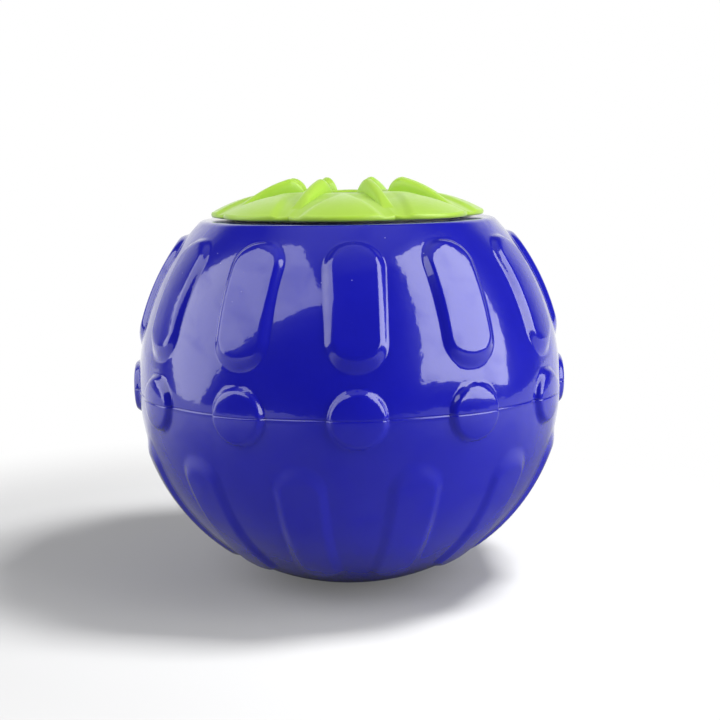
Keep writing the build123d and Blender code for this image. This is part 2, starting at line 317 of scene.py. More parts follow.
@dataclass(frozen=True)
class MouldedVinyl:
    """Rotation-moulded PVC: a deep, evenly dyed skin with a wet gloss and a faint orange peel.

    The eye reads sharp, slightly swimming window reflections over a saturated colour, smudged by
    hands, with a little dust that the soft skin holds on its upper side. The haze is the roughness
    of the gloss, which is higher on the half that is scuffed by rolling. A smudge leaves the smudged
    share of the gloss.
    """

    name: str
    haze: float
    deep: str = "#0C0E9E"
    bright: str = "#1416AE"
    dust: str = "#9C9CE0"
    roughness: Pair = (0.16, 0.24)
    ior: float = 1.53
    specular: float = 0.2
    coat_ior: float = 1.55
    mottle: float = 17 * MM
    wave: float = 11 * MM
    wave_depth: float = 0.09 * MM
    peel: float = 1.9 * MM
    peel_depth: float = 0.024 * MM
    smudge: float = 8 * MM
    smudge_pull: float = 0.6
    smudge_edge: Pair = (0.48, 0.72)
    smudged: float = 0.62
    dust_spacing: float = 3.6 * MM
    dust_size: float = 0.17 * MM
    dust_rise: Pair = (66 * MM, 84 * MM)

    def build(self) -> Material:
        """Makes the material."""
        material, tree, shader, place = new_finish(self.name)
        mottle = noise(tree, place, self.mottle, detail=3)
        dyed = blend(tree, mottle, linear(self.deep), linear(self.bright))
        waved = bump(tree, noise(tree, place, self.wave, detail=1), self.wave_depth)
        normal = bump(tree, noise(tree, place, self.peel, detail=2), self.peel_depth, waved)
        hands = noise(tree, place, self.smudge, detail=4, distortion=self.smudge_pull)
        fill(tree, shader, {
            "Base Color": blend(tree, self.dusting(tree, place), dyed, linear(self.dust)),
            "Roughness": ramp(tree, mottle, (*MOST_NOISE, *self.roughness)),
            "Normal": normal,
            "IOR": self.ior,
            "Specular IOR Level": self.specular,
            "Coat Weight": ramp(tree, hands, (*self.smudge_edge, 1.0, self.smudged)),
            "Coat Roughness": self.haze,
            "Coat IOR": self.coat_ior,
            "Coat Normal": normal,
        })
        return material

    def dusting(self, tree: Tree, place: Socket) -> Socket:
        """Adds specks of dust high on the ball.

        Args:
            tree: tree of the material.
            place: the place on the skin.

        Returns:
            The share of dust.
        """
        cells = {"Vector": place, "Scale": 1 / self.dust_spacing}
        apart = add(tree, "ShaderNodeTexVoronoi", cells)["Distance"]
        edge = self.dust_size / self.dust_spacing
        speck = ramp(tree, apart, (edge, edge / 2, 0.0, 1.0))
        height = add(tree, "ShaderNodeSeparateXYZ", {0: place})["Z"]
        upper = ramp(tree, height, (*self.dust_rise, 0.0, 1.0))
        return combine(tree, "MULTIPLY", speck, upper)


@dataclass(frozen=True)
class SoftRubber:
    """Moulded thermoplastic rubber: satin, a little milky, with a pale bloom at low angles."""

    name: str
    deep: str
    bright: str
    mottle: float = 9 * MM
    grain: float = 0.9 * MM
    grain_depth: float = 0.01 * MM
    roughness: Pair = (0.32, 0.42)
    ior: float = 1.5
    glow: float = 0.25
    glow_depth: float = 1.5 * MM
    glow_reach: tuple[float, float, float] = (1.0, 1.0, 0.4)
    bloom: float = 0.35
    bloom_roughness: float = 0.4

    def build(self) -> Material:
        """Makes the material."""
        material, tree, shader, place = new_finish(self.name)
        mottle = noise(tree, place, self.mottle, detail=3)
        grain = noise(tree, place, self.grain, detail=2)
        fill(tree, shader, {
            "Base Color": blend(tree, mottle, linear(self.deep), linear(self.bright)),
            "Roughness": ramp(tree, grain, (*MOST_NOISE, *self.roughness)),
            "Normal": bump(tree, grain, self.grain_depth),
            "IOR": self.ior,
            "Subsurface Weight": self.glow,
            "Subsurface Scale": self.glow_depth,
            "Subsurface Radius": self.glow_reach,
            "Sheen Weight": self.bloom,
            "Sheen Roughness": self.bloom_roughness,
        })
        return material


@dataclass(frozen=True)
class HardPlastic:
    """Injection-moulded polypropylene: waxy satin with a fine spark-eroded texture from the mould."""

    name: str
    deep: str
    bright: str
    texture: float = 0.6 * MM
    texture_depth: float = 0.012 * MM
    roughness: Pair = (0.38, 0.52)
    ior: float = 1.49

    def build(self) -> Material:
        """Makes the material."""
        material, tree, shader, place = new_finish(self.name)
        grain = noise(tree, place, self.texture, detail=4)
        fill(tree, shader, {
            "Base Color": blend(tree, grain, linear(self.deep), linear(self.bright)),
            "Roughness": ramp(tree, grain, (*MOST_NOISE, *self.roughness)),
            "Normal": bump(tree, grain, self.texture_depth),
            "IOR": self.ior,
        })
        return material


@dataclass(frozen=True)
class StudioPaper:
    """White paper sweep: matt and even, pure white to the camera a little way from the object.

    The gloss of the ball sees it without the shadow, as a glow of painted reflection rather than lit paper:
    painted shade under the ball, dim in front of it and painted light beside and behind it, because in
    the photograph the table in front was dim. The last four fields are ramps over a place on the paper,
    in metres.
    """

    name: str = "white_sweep_paper"
    white: str = "#A2A2A2"
    roughness: float = 0.9
    fade_centre: tuple[float, float, float] = (-0.03, 0.01, 0.0)
    # near the ball the camera still sees a 0.11 share of white glow, painted light that lightens the shadow
    # there
    fade: Ramp = (0.085, 0.16, 0.11, 1.0)
    # under, beside and behind set the painted reflection: painted shade under the ball, painted light
    # beside and behind it
    under: Ramp = (0.014, 0.042, 0.02, 0.23)
    beside: Ramp = (0.06, 0.22, 0.0, 0.6)
    behind: Ramp = (0.05, 0.16, 0.0, 0.75)

    def build(self) -> Material:
        """Makes the material."""
        material, tree, shader, place = new_finish(self.name)
        matt = {"Roughness": self.roughness, "Specular IOR Level": 0.0}
        fill(tree, shader, {"Base Color": linear(self.white), **matt})
        path = add(tree, "ShaderNodeLightPath")
        # to glossy rays the paper is an emission of painted reflection and painted shade, not lit paper
        painted_reflection = add(tree, "ShaderNodeEmission", {"Strength": self.painted_reflection(tree, place)})[0]
        apart = {0: place, 1: self.fade_centre}
        away = add(tree, "ShaderNodeVectorMath", apart, operation="DISTANCE")["Value"]
        fade = ramp(tree, away, self.fade, Rise.SOFT)
        far = combine(tree, "MULTIPLY", path["Is Camera Ray"], fade)
        # far off, this white emission is the backdrop; near the ball it is a faint glow of painted light in
        # the shadow
        white = add(tree, "ShaderNodeEmission", {"Strength": 1.0})[0]
        seen = add(tree, "ShaderNodeMixShader", {0: far, 1: shader.outputs[0], 2: white})[0]
        shaders = {0: path["Is Glossy Ray"], 1: seen, 2: painted_reflection}
        mixed = add(tree, "ShaderNodeMixShader", shaders)[0]
        fill(tree, tree.nodes["Material Output"], {"Surface": mixed})
        return material

    def painted_reflection(self, tree: Tree, place: Socket) -> Socket:
        """Adds the level of the painted reflection that the gloss of the ball sees: painted shade under the
        ball, dim in front of it, painted light beside and behind it.

        Args:
            tree: tree of the material.
            place: the place on the paper.

        Returns:
            The level.
        """
        away = add(tree, "ShaderNodeVectorMath", {0: place}, operation="LENGTH")["Value"]
        parts = add(tree, "ShaderNodeSeparateXYZ", {0: place})
        aside = add(tree, "ShaderNodeMath", {0: parts["X"]}, operation="ABSOLUTE")[0]
        beside = ramp(tree, aside, self.beside, Rise.SOFT)
        behind = ramp(tree, parts["Y"], self.behind, Rise.SOFT)
        outer = combine(tree, "MAXIMUM", beside, behind)
        return combine(tree, "ADD", ramp(tree, away, self.under, Rise.SOFT), outer)


def new_finish(name: str) -> tuple[Material, Tree, bpy.types.Node, Socket]:
    """Starts a material.

    Args:
        name: name of the material.

    Returns:
        The material, its node tree, its main shader and the place on the piece.
    """
    material = bpy.data.materials.new(name)
    material.use_nodes = True
    tree = material.node_tree
    return material, tree, tree.nodes["Principled BSDF"], add(tree, "ShaderNodeTexCoord")["Object"]


@dataclass(frozen=True)
class Relief:
    """Raised shape on the ball's skin, in millimetres: its height, rounded flank and soft foot.

    The fuller it is, the more gently the flank leaves the skin.
    """

    rise: float
    flank: float
    foot: float
    fullness: float

    def height(self, inside: Grid, stretch: Grid | float = 1.0) -> Grid:
        """Height over the skin.

        Args:
            inside: distance inside the outline, negative outside.
            stretch: how many times longer the flank is.

        Returns:
            Heights in millimetres.
        """
        share = np.clip((inside + self.foot) / (self.flank * stretch + self.foot), 0.0, 1.0)
        return self.rise * np.sin(QUARTER_TURN * share) ** self.fullness


@dataclass(frozen=True)
class LongPad:
    """Round-ended pad that runs up or down the ball, between two tilts seen from the equator's centre.

    Its flank is stretched at the start, the end beside the equator.
    """

    start_tilt: float
    end_tilt: float
    start_width: float
    end_width: float
    relief: Relief
    start_stretch: float = 1.0

    def height(self, points: Grid, skin_point: Callable[[float], Pair]) -> Grid:
        """Height of the pad over the skin, for a pad on +X.

        Args:
            points: points of the skin, from the equator's centre.
            skin_point: function that gives the skin's radius and height at a tilt.

        Returns:
            Heights in millimetres.
        """
        start = np.array(skin_point(math.radians(self.start_tilt)))
        end = np.array(skin_point(math.radians(self.end_tilt)))
        length = np.linalg.norm(end - start)
        along = (points[..., [0, 2]] - (start + end) / 2) @ ((end - start) / length)
        share = np.clip(along / length + 0.5, 0, 1)
        radius = (self.start_width * (1 - share) + self.end_width * share) / 2
        start_stop = -length / 2 + self.start_width / 2
        end_stop = length / 2 - self.end_width / 2
        past = along - np.clip(along, start_stop, end_stop)
        apart = np.maximum(np.hypot(past, points[..., 1]), TINY)
        stretch = 1 + (self.start_stretch - 1) * np.clip(-past, 0, None) / apart
        return self.relief.height(radius - apart, stretch)


@dataclass
class BallHalf:
    """One moulded half of the ball, in millimetres, with its heights measured from the equator.

    The stops are the distances of the mesh's columns from the middle of a pad, with even columns in
    the gap beyond them. The skin step is the distance between its rows.
    """

    half: Half
    rise: float
    pad: LongPad
    stops: tuple[float, ...]
    gap_columns: int
    skin_step: float
    inside_rows: int
    radius: float = 50.55
    wall: float = 4.0
    count: int = 12
    button_r: float = 6.3
    button: Relief = field(default_factory=lambda: Relief(rise=1.1, flank=1.05, foot=0.2, fullness=1.1))
    button_dome: float = 0.45
    seam_round: float = 0.3
    seam_depth: float = 0.1
    seam_rows: tuple[float, ...] = (0.0, 0.1, 0.2, 0.3, 0.4, 0.55)
    flash_rise: float = 0.07
    flash_place: float = 0.3
    flash_width: float = 0.16

    @property
    def half_step(self) -> float:
        """Angle from the middle of a button to the middle of the gap beside it."""
        return math.pi / self.count

    @property
    def side(self) -> float:
        """Side of the equator: 1 above it and -1 below it."""
        return 1.0 if self.half is Half.UPPER else -1.0

    def skin_point(self, tilt: float) -> Pair:
        """Radius and height of the bare skin at a tilt in radians away from the equator."""
        reach = 1 / math.hypot(math.cos(tilt) / self.radius, math.sin(tilt) / self.rise)
        return reach * math.cos(tilt), reach * math.sin(tilt) * self.side

    def angles(self, radius: Grid) -> Grid:
        """Column angles of one sector, which has its button in the middle.

        Args:
            radius: radii of the rows, in a column.

        Returns:
            Angles in radians, rows by columns.
        """
        near = np.arcsin(np.array(self.stops) / radius)
        gap = np.linspace(0, 1, self.gap_columns + 1)[1:]
        side = np.concatenate([near, near[:, -1:] + (self.half_step - near[:, -1:]) * gap], axis=1)
        if self.half is Half.LOWER:
            side = self.half_step - side[:, ::-1]
        return np.concatenate([-side[:, :0:-1], side], axis=1)

    def skin(self, last: float) -> Grid:
        """Outer skin from the equator to an eccentric angle, with fine rows beside the seam.

        Args:
            last: eccentric angle at the end, in radians, negative for the lower half.

        Returns:
            Outline points without the last one.
        """
        seam = np.array(self.seam_rows) / self.radius * np.sign(last)
        count = round(abs(last) * self.radius / self.skin_step)
        angle = np.concatenate([seam, np.linspace(2 * seam[-1], last, count, endpoint=False)])
        height = self.rise * np.sin(np.abs(angle)) * np.sign(last)
        return np.stack([self.radius * np.cos(angle), height], axis=1)

    def raised(self, outline: Grid) -> Grid:
        """Skin of one sector with its pads, its button and the seam.

        Args:
            outline: points of the bare skin from the equator on.

        Returns:
            Points, rows by columns by 3.
        """
        step = np.gradient(outline, axis=0)
        normal = np.stack([step[:, 1], -step[:, 0]], axis=1) * self.side
        normal /= np.linalg.norm(normal, axis=1, keepdims=True)
        normal[0] = (1.0, 0.0)
        angle = self.angles(outline[:, :1])
        points = turned(outline[:, :1], outline[:, 1:], angle)
        apart = np.hypot(points[..., 1], points[..., 2])
        dome = self.button_dome * np.clip(1 - (apart / self.button_r) ** 2, 0, None)
        height = self.button.height(self.button_r - apart) + dome
        pad_turns = (0.0,) if self.half is Half.UPPER else (self.half_step, -self.half_step)
        for turn in pad_turns:
            height = np.maximum(height, self.pad.height(spun(points, -turn), self.skin_point))
        away = np.abs(outline[:, 1:])
        height = height - self.seam_depth * np.clip(1 - away / self.seam_round, 0, 1) ** 2
        if self.half is Half.LOWER:
            flash = self.flash_rise * np.exp(-(((away - self.flash_place) / self.flash_width) ** 2))
            height = height + flash * (1 - smooth_step(0, self.button.rise, height))
        radius = outline[:, :1] + normal[:, :1] * height
        return turned(radius, outline[:, 1:] + normal[:, 1:] * height, angle)

    def finish(self, raised: Grid, rest: Grid, equator: float, vinyl: Material) -> None:
        """Joins the raised skin and the plain inside to the whole half.

        Args:
            raised: points of the raised skin.
            rest: outline of the other faces.
            equator: height of the equator over the floor.
            vinyl: material.
        """
        angle = np.arctan2(raised[-1, :, 1], raised[-1, :, 0])
        plain = turned(rest[:, :1], rest[:, 1:], angle[None, :])
        rows = np.concatenate([raised, plain]) + np.array([0, 0, equator])
        sector = sector_mesh(self.half.value, spun(rows, FRONT))
        piece = REPEAT.whole(f"vinyl_{self.half.value}", sector, self.count, vinyl)
        mount(piece, Body.BALL, self.half.value)


@dataclass
class Ball:
    """The hollow ball: two vinyl halves and the stiff ring in its mouth.

    Sizes are in millimetres, and rows are those of the meshes.
    """

    upper: BallHalf = field(default_factory=lambda: BallHalf(
        Half.UPPER,
        rise=54.3,
        pad=LongPad(
            start_tilt=10.8, end_tilt=43.6, start_width=12.8, end_width=12.8,
            relief=Relief(rise=1.2, flank=1.9, foot=0.35, fullness=1.3), start_stretch=2.0,
        ),
        stops=(
            0, 1.5, 3.0, 3.9, 4.3, 4.6, 4.9, 5.2, 5.45, 5.7, 5.9, 6.1, 6.3, 6.5, 6.65, 6.8, 7.0, 7.4, 8.0,
        ),
        gap_columns=5, skin_step=0.34, inside_rows=10,
    ))
    lower: BallHalf = field(default_factory=lambda: BallHalf(
        Half.LOWER,
        rise=48.6,
        pad=LongPad(
            start_tilt=11.9, end_tilt=55.4, start_width=11.0, end_width=9.2,
            relief=Relief(rise=0.9, flank=1.6, foot=0.9, fullness=1.7), start_stretch=2.4,
        ),
        stops=(0, 1.3, 2.3, 2.9, 3.4, 3.8, 4.2, 4.6, 5.0, 5.4, 5.8, 6.2),
        gap_columns=16, skin_step=0.48, inside_rows=12,
    ))
    shoulder_fillet: float = 2.2
    mouth_r: float = 28.0
    haunch_r: float = 28.0
    foot_r: float = 10.5
    shoulder_rows: int = 8
    seat_rows: int = 3
    foot_rows: int = 4
    base_rows: int = 40
    padded_rows: int = 7
    plain_row_step: int = 4
    inner_base_rows: int = 6

    def upper_rows(self, seat: float) -> tuple[Grid, Grid]:
        """Rows of the upper half's sector.

        Args:
            seat: height of the flat top over the equator.

        Returns:
            Raised skin, and the outline of the shoulder, flat top, mouth and inside.
        """
        half = self.upper
        fillet = self.shoulder_fillet
        turn = math.asin((seat - fillet) / (half.rise - fillet))
        centre = ((half.radius - fillet) * math.cos(turn), seat - fillet)
        lean = math.atan2(math.sin(turn) / half.rise, math.cos(turn) / half.radius)
        inner = (half.radius - half.wall, half.rise - half.wall)
        ceiling = seat - half.wall
        inner_turn = math.asin(ceiling / inner[1])
        rest = [
            arc(centre, (fillet, fillet), lean, QUARTER_TURN, self.shoulder_rows),
            line((centre[0], seat), (self.mouth_r, seat), self.seat_rows),
            line((self.mouth_r, seat), (self.mouth_r, ceiling)),
            line((self.mouth_r, ceiling), (inner[0] * math.cos(inner_turn), ceiling)),
            arc((0, 0), inner, inner_turn, 0, half.inside_rows),
            line((inner[0], 0), (half.radius - half.seam_depth, 0)),
        ]
        return half.raised(half.skin(turn)), np.concatenate(rest)

    def base_outline(self, extra: float, foot: float, count: int) -> Grid:
        """Outline of the flatter base, from the haunch to the foot.

        Args:
            extra: how far the skin is moved out.
            foot: height of the foot from the equator, negative.
            count: number of points.

        Returns:
            Outline points without the last one.
        """
        wide, deep = self.lower.radius + extra, self.lower.rise + extra
        turn = -math.acos(self.haunch_r / self.lower.radius)
        start = np.array([wide * math.cos(turn), deep * math.sin(turn)])
        heading = np.array([wide * math.sin(turn), -deep * math.cos(turn)])
        heading /= np.linalg.norm(heading)
        inward = np.array([heading[1], -heading[0]])
        chord = np.array([self.foot_r, foot - extra]) - start
        bend_r = chord @ chord / (2 * chord @ inward)
        middle = start + bend_r * inward
        first = math.atan2(*(start - middle)[::-1])
        last = math.atan2(*(start + chord - middle)[::-1])
        return arc(tuple(middle), (bend_r, bend_r), first, last, count)

    def lower_rows(self, foot: float) -> tuple[Grid, Grid]:
        """Rows of the lower half's sector.

        Args:
            foot: height of the foot from the equator, negative.

        Returns:
            Raised skin, and the outline of the base, foot and inside.
        """
        half = self.lower
        turn = -math.acos(self.haunch_r / half.radius)
        inner = (half.radius - half.wall, half.rise - half.wall)
        floor = foot + half.wall
        base = self.base_outline(0, foot, self.base_rows)
        padded = np.concatenate([half.skin(turn), base[:self.padded_rows]])
        rest = [
            base[self.padded_rows::self.plain_row_step],
            line((self.foot_r, foot), (0, foot), self.foot_rows),
            [(0, foot), (0, floor)],
            line((0, floor), (self.foot_r, floor))[1:],
            self.base_outline(-half.wall, foot, self.inner_base_rows)[:0:-1],
            arc((0, 0), inner, turn, 0, half.inside_rows),
            line((inner[0], 0), (half.radius - half.seam_depth, 0)),
        ]
        return half.raised(padded), np.concatenate(rest)

    def build(self) -> None:
        """Builds both halves and dresses the ring in the mouth."""
        polished = MouldedVinyl("polished_moulded_vinyl", haze=0.04).build()
        scuffed = MouldedVinyl("scuffed_moulded_vinyl", haze=0.18).build()
        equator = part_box(Half.UPPER.value)[0].z / MM
        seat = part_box(Half.UPPER.value)[1].z / MM - equator
        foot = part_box(Half.LOWER.value)[0].z / MM - equator
        self.upper.finish(*self.upper_rows(seat), equator, polished)
        self.lower.finish(*self.lower_rows(foot), equator, scuffed)
        dress("neck_ring", HardPlastic("moulded_polypropylene_blue", "#1B1BA0", "#2222B4").build())


@dataclass
class Lid:
    """The twist-lock lid: soft flower, stiff core, and the slit gate with its ring. Millimetres.

    Heights are over the underside of the flower's rim. The leaf's end and the fin's middle and foot
    are a radius with a half width or a height. The flower is moulded over the core's flange and its
    ring-shaped key, and its steady feet are under the fins. Rows and columns are those of the meshes.
    """

    petals: int = 8
    fin_turn: float = math.radians(18.2)
    tip_r: float = 32.4
    valley_r: float = 30.4
    edge: float = 1.0
    edge_round: float = 0.35
    crown_rise: float = 5.7
    crown_r: float = 15.0
    arch_r: float = 45.0
    valley_round: float = 1.6
    least: float = 0.6
    leaf_start: float = 18.0
    leaf_end: Pair = (30.5, 8.4)
    leaf_step: float = 0.65
    leaf_edge: Pair = (-0.4, 2.0)
    outlet_r: float = 10.5
    outlet_round: float = 0.7
    fin_rise: float = 8.8
    fin_top_r: float = 14.4
    fin_round: float = 3.3
    fin_start: float = 0.5
    fin_mid: Pair = (20.5, 6.5)
    fin_foot: Pair = (28.0, 1.6)
    fin_half: Pair = (1.65, 1.3)
    fin_roundness: float = 3.0
    fin_base: float = 2.6
    fin_flare: float = 0.14
    steady_width: float = 11.0
    steady_drop: float = 0.3
    core_r: float = 27.05
    key_in_r: float = 12.95
    key_out_r: float = 16.05
    flange_rise: float = 1.5
    key_rise: float = 3.75
    fin_columns: tuple[float, ...] = (
        0, 0.25, 0.5, 0.75, 0.95, 1.1, 1.2, 1.28, 1.36, 1.44, 1.5, 1.55, 1.6, 1.65, 1.75, 1.95, 2.3, 2.7,
    )
    petal_columns: int = 15
    close_share: float = 0.25
    close_rows: int = 22
    wide_rows: int = 44
    rim_rows: int = 9
    under_rim_rows: int = 10
    outlet_rows: int = 6
    gate_tip_r: float = 6.6
    gate_root_r: float = 12.0
    gate_slit: float = 1.4
    gate_droop: float = 0.5
    gate_tip_round: float = 0.35
    gate_tip_run: float = 0.9
    gate_root_gap: float = 0.1
    gate_rows: int = 14
    gate_rim_rows: int = 6
    gate_columns: int = 15

    @property
    def half_step(self) -> float:
        """Angle from a fin to the middle of a petal."""
        return math.pi / self.petals

    def crest(self, reach: Grid) -> Grid:
        """Height of a petal's crest at a distance along the petal."""
        drop = self.crown_rise - self.edge
        bend_r = ((self.tip_r - self.crown_r) ** 2 + drop ** 2) / (2 * drop)
        past = np.clip(reach - self.crown_r, 0, bend_r)
        return self.crown_rise - bend_r + np.sqrt(bend_r ** 2 - past ** 2)

    def petal_height(self, radius: Grid, angle: Grid) -> Grid:
        """Height of the arched petals, with a raised leaf on each and a soft crease between them.

        Args:
            radius: distance from the axis.
            angle: angle from the nearest fin, in radians.

        Returns:
            Heights in millimetres.
        """
        valley = radius * math.sin(self.half_step)
        inside = valley - radius * np.sin(self.half_step - np.abs(angle))
        width = np.minimum(self.valley_round, valley)
        eased = np.where(inside < width, (inside ** 2 + width ** 2) / (2 * width), inside)
        aside = valley - eased
        reach = radius * np.cos(self.half_step - np.abs(angle))
        back_r = self.arch_r - self.crown_rise + self.crest(reach)
        arched = self.crown_rise - self.arch_r + np.sqrt(back_r ** 2 - aside ** 2)
        leaf = np.interp(reach, (self.leaf_start, self.leaf_end[0]), (0, self.leaf_end[1]))
        step = smooth_step(*self.leaf_edge, aside - leaf)
        return arched - self.leaf_step * step * smooth_step(self.crown_r, self.fin_mid[0], reach)

    def fin_height(self, radius: Grid) -> Grid:
        """Height of a fin's ridge: a quarter round beside the outlet, then a long fall to the rim."""
        knots = np.array([(self.fin_top_r, self.fin_rise), self.fin_mid, self.fin_foot])
        fall = np.polyval(np.polyfit(knots[:, 0], knots[:, 1], 2), radius)
        short = np.clip((self.fin_top_r - radius) / self.fin_round, 0, 1)
        rounded = self.fin_rise - self.fin_round * (1 - np.sqrt(1 - short ** 2))
        return np.where(radius < self.fin_top_r, rounded, fall)

    def top_height(self, radius: Grid, angle: Grid) -> Grid:
        """Height of the flower's upper face.

        Args:
            radius: distance from the axis.
            angle: angle from the nearest fin, in radians.

        Returns:
            Heights in millimetres.
        """
        petal = np.maximum(self.petal_height(radius, angle), self.least)
        aside = np.abs(radius * np.sin(angle))
        half = np.interp(radius, (self.fin_top_r, self.fin_foot[0]), self.fin_half)
        finger = np.sqrt(np.clip(1 - (aside / half) ** self.fin_roundness, 0, None))
        flare = 1 - smooth_step(0, self.fin_base, aside)
        blade = finger + self.fin_flare * (flare - finger)
        first_r = self.fin_top_r - self.fin_round
        start = smooth_step(first_r, first_r + self.fin_start, radius)
        return petal + np.clip(self.fin_height(radius) - petal, 0, None) * blade * start

    def rim_radius(self, angle: Grid) -> Grid:
        """Radius of the scalloped rim at an angle from the nearest fin."""
        spread = self.tip_r - self.valley_r * math.cos(self.half_step)
        centre = (self.tip_r ** 2 - self.valley_r ** 2) / 2 / spread
        aside = self.half_step - np.abs(angle)
        return centre * np.cos(aside) + np.sqrt((self.tip_r - centre) ** 2 - (centre * np.sin(aside)) ** 2)

    def columns(self, radius: float) -> Grid:
        """Column angles of the flower's sector at a radius, closest together beside the fin."""
        inner = np.arcsin(np.array(self.fin_columns) / radius)
        outer = np.linspace(inner[-1], self.half_step, self.petal_columns + 1)[1:]
        side = np.concatenate([inner, outer])
        return np.concatenate([-side[:0:-1], side])

    def top_rows(self) -> list[Grid]:
        """Rows of the flower's upper face, from the outlet's edge to the rim."""
        first_r = self.outlet_r + self.outlet_round
        close = np.linspace(0, self.close_share, self.close_rows)
        wide = np.linspace(self.close_share, 1, self.wide_rows)[1:]
        rows = []
        for part in np.concatenate([close, wide]):
            angle = self.columns(first_r + (self.valley_r - first_r) * part)
            radius = first_r + (self.rim_radius(angle) - self.edge_round - first_r) * part
            rows.append(turned(radius, self.top_height(radius, angle), angle))
        return rows

    def under_rows(self) -> list[Grid]:
        """Rows round the rim, back over the underside with its feet, and up the wall of the outlet."""
        angle = self.columns(self.valley_r)
        brim_r = self.rim_radius(angle) - self.edge_round
        thick = self.top_height(brim_r, angle)
        rows = []
        for turn in np.linspace(QUARTER_TURN, -QUARTER_TURN, self.rim_rows)[1:]:
            radius = brim_r + self.edge_round * math.cos(turn)
            rows.append(turned(radius, thick * (1 + math.sin(turn)) / 2, angle))
        for part in np.linspace(0, 1, self.under_rim_rows)[1:]:
            radius = brim_r + (self.core_r - brim_r) * part
            aside = radius * np.sin(angle) / (self.steady_width / 2)
            foot = self.steady_drop * np.clip(1 - aside ** 2, 0, None) * math.sqrt(math.sin(math.pi * part))
            rows.append(turned(radius, -foot, angle))
        low, high = self.flange_rise, self.key_rise
        seat = [
            (self.core_r, low), (self.key_out_r, low), (self.key_out_r, high),
            (self.key_in_r, high), (self.key_in_r, low), (self.outlet_r, low),
        ]
        for radius, height in seat:
            rows.append(turned(radius, height, self.columns(radius)))
        first_r = self.outlet_r + self.outlet_round
        angle = self.columns(first_r)
        level = self.top_height(first_r, angle)
        for turn in np.linspace(math.pi, QUARTER_TURN, self.outlet_rows)[:-1]:
            radius = first_r + self.outlet_round * math.cos(turn)
            rows.append(turned(radius, level - self.outlet_round * (1 - math.sin(turn)), angle))
        return rows

    def flower(self) -> None:
        """Builds the soft flower over its CAD solid."""
        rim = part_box("flower_cover")[0].z / MM + self.steady_drop
        rows = np.array(self.top_rows() + self.under_rows()) + np.array([0, 0, rim])
        sector = sector_mesh("flower", spun(rows, FRONT + self.fin_turn))
        finish = SoftRubber("moulded_tpr_lime", "#A4CE38", "#B2DA46").build()
        flower = REPEAT.whole("soft_flower", sector, self.petals, finish)
        mount(flower, Body.LID, "flower_cover")

    def gate(self) -> None:
        """Builds the gate, one finger and its share of the rim to a sector."""
        low, high = (corner.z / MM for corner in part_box("treat_gate"))
        outer_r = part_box("treat_gate")[1].x / MM
        finger = np.linspace(self.gate_tip_r, self.gate_root_r, self.gate_rows)
        rim = np.linspace(self.gate_root_r + self.gate_root_gap, outer_r, self.gate_rim_rows)
        reach = np.concatenate([finger, rim])
        slit = np.where(reach <= self.gate_root_r, np.arcsin(self.gate_slit / 2 / reach), 0.0)
        angle = (self.half_step - slit)[:, None] * np.linspace(-1, 1, self.gate_columns)
        droop = self.gate_droop * (1 - smooth_step(self.gate_tip_r, self.gate_root_r, reach))
        tip_end = self.gate_tip_r + self.gate_tip_run
        thin = self.gate_tip_round * (1 - smooth_step(self.gate_tip_r, tip_end, reach))
        upper = turned(reach[:, None], (high - droop - thin)[:, None], angle)
        lower = turned(reach[:, None], (low - droop + thin)[:, None], angle)
        rows = spun(np.concatenate([upper, lower[::-1]]), FRONT + self.half_step)
        sector = sector_mesh("gate", rows, walls=len(finger))
        finish = SoftRubber("moulded_tpr_gate", "#7FB01C", "#8CBC28").build()
        gate = REPEAT.whole("soft_gate", sector, self.petals, finish)
        mount(gate, Body.LID, "treat_gate")

    def build(self) -> None:
        """Builds the soft pieces and dresses the stiff ones."""
        self.flower()
        self.gate()
        core = HardPlastic("moulded_polypropylene_green", "#6E9E1E", "#7AAA28").build()
        for node in ("lid_core", "gate_ring"):
            dress(node, core)


@dataclass
class Seal:
    """The soft ring between the lid and the ball's neck. Millimetres."""

    width: float = 4.2
    edge: float = 0.25
    strips: int = 48
    strip_columns: int = 3
    corner_rows: int = 5

    def outline(self) -> Grid:
        """Cross-section of the ring, a rectangle with rounded corners."""
        low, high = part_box("lid_gasket")
        outer = high.x / MM
        reach = (outer - self.width + self.edge, outer - self.edge)
        level = (low.z / MM + self.edge, high.z / MM - self.edge)
        corners = [(reach[1], level[1]), (reach[0], level[1]), (reach[0], level[0]), (reach[1], level[0])]
        bends = []
        for turn, corner in enumerate(corners):
            start = turn * QUARTER_TURN
            bends.append(arc(corner, (self.edge, self.edge), start, start + QUARTER_TURN, self.corner_rows))
        return np.concatenate(bends)

    def build(self) -> None:
        """Builds the ring."""
        outline = self.outline()
        angle = np.linspace(0, FULL_TURN / self.strips, self.strip_columns)
        sector = sector_mesh("gasket", turned(outline[:, :1], outline[:, 1:], angle[None, :]))
        finish = SoftRubber("moulded_silicone", "#C9CDC6", "#D6DAD2", glow=0.4).build()
        ring = REPEAT.whole("soft_gasket", sector, self.strips, finish)
        mount(ring, Body.SEAL, "lid_gasket")


def mount(piece: Piece, body: Body, node: str) -> None:
    """Lets a finished piece ride on a body in place of a CAD node, and logs it.

    Args:
        piece: the finished piece.
        body: body that it moves with.
        node: CAD node that it stands for.
    """
    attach(piece, body.value)
    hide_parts(node)
    report(piece)


def dress(node: str, finish: Material) -> None:
    """Gives a CAD node a material in place of its plain one.

    Args:
        node: name of the CAD node.
        finish: the material.
    """
    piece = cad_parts[node]
    piece.data.materials.clear()
    piece.data.materials.append(finish)
    report(piece)


def report(piece: Piece) -> None:
    """Logs a finished piece with its size and number of faces."""
    size = ", ".join(f"{side / MM:.1f}" for side in piece.dimensions)
    LOG.info("%s: %s mm, %d faces", piece.name, size, len(piece.data.polygons))


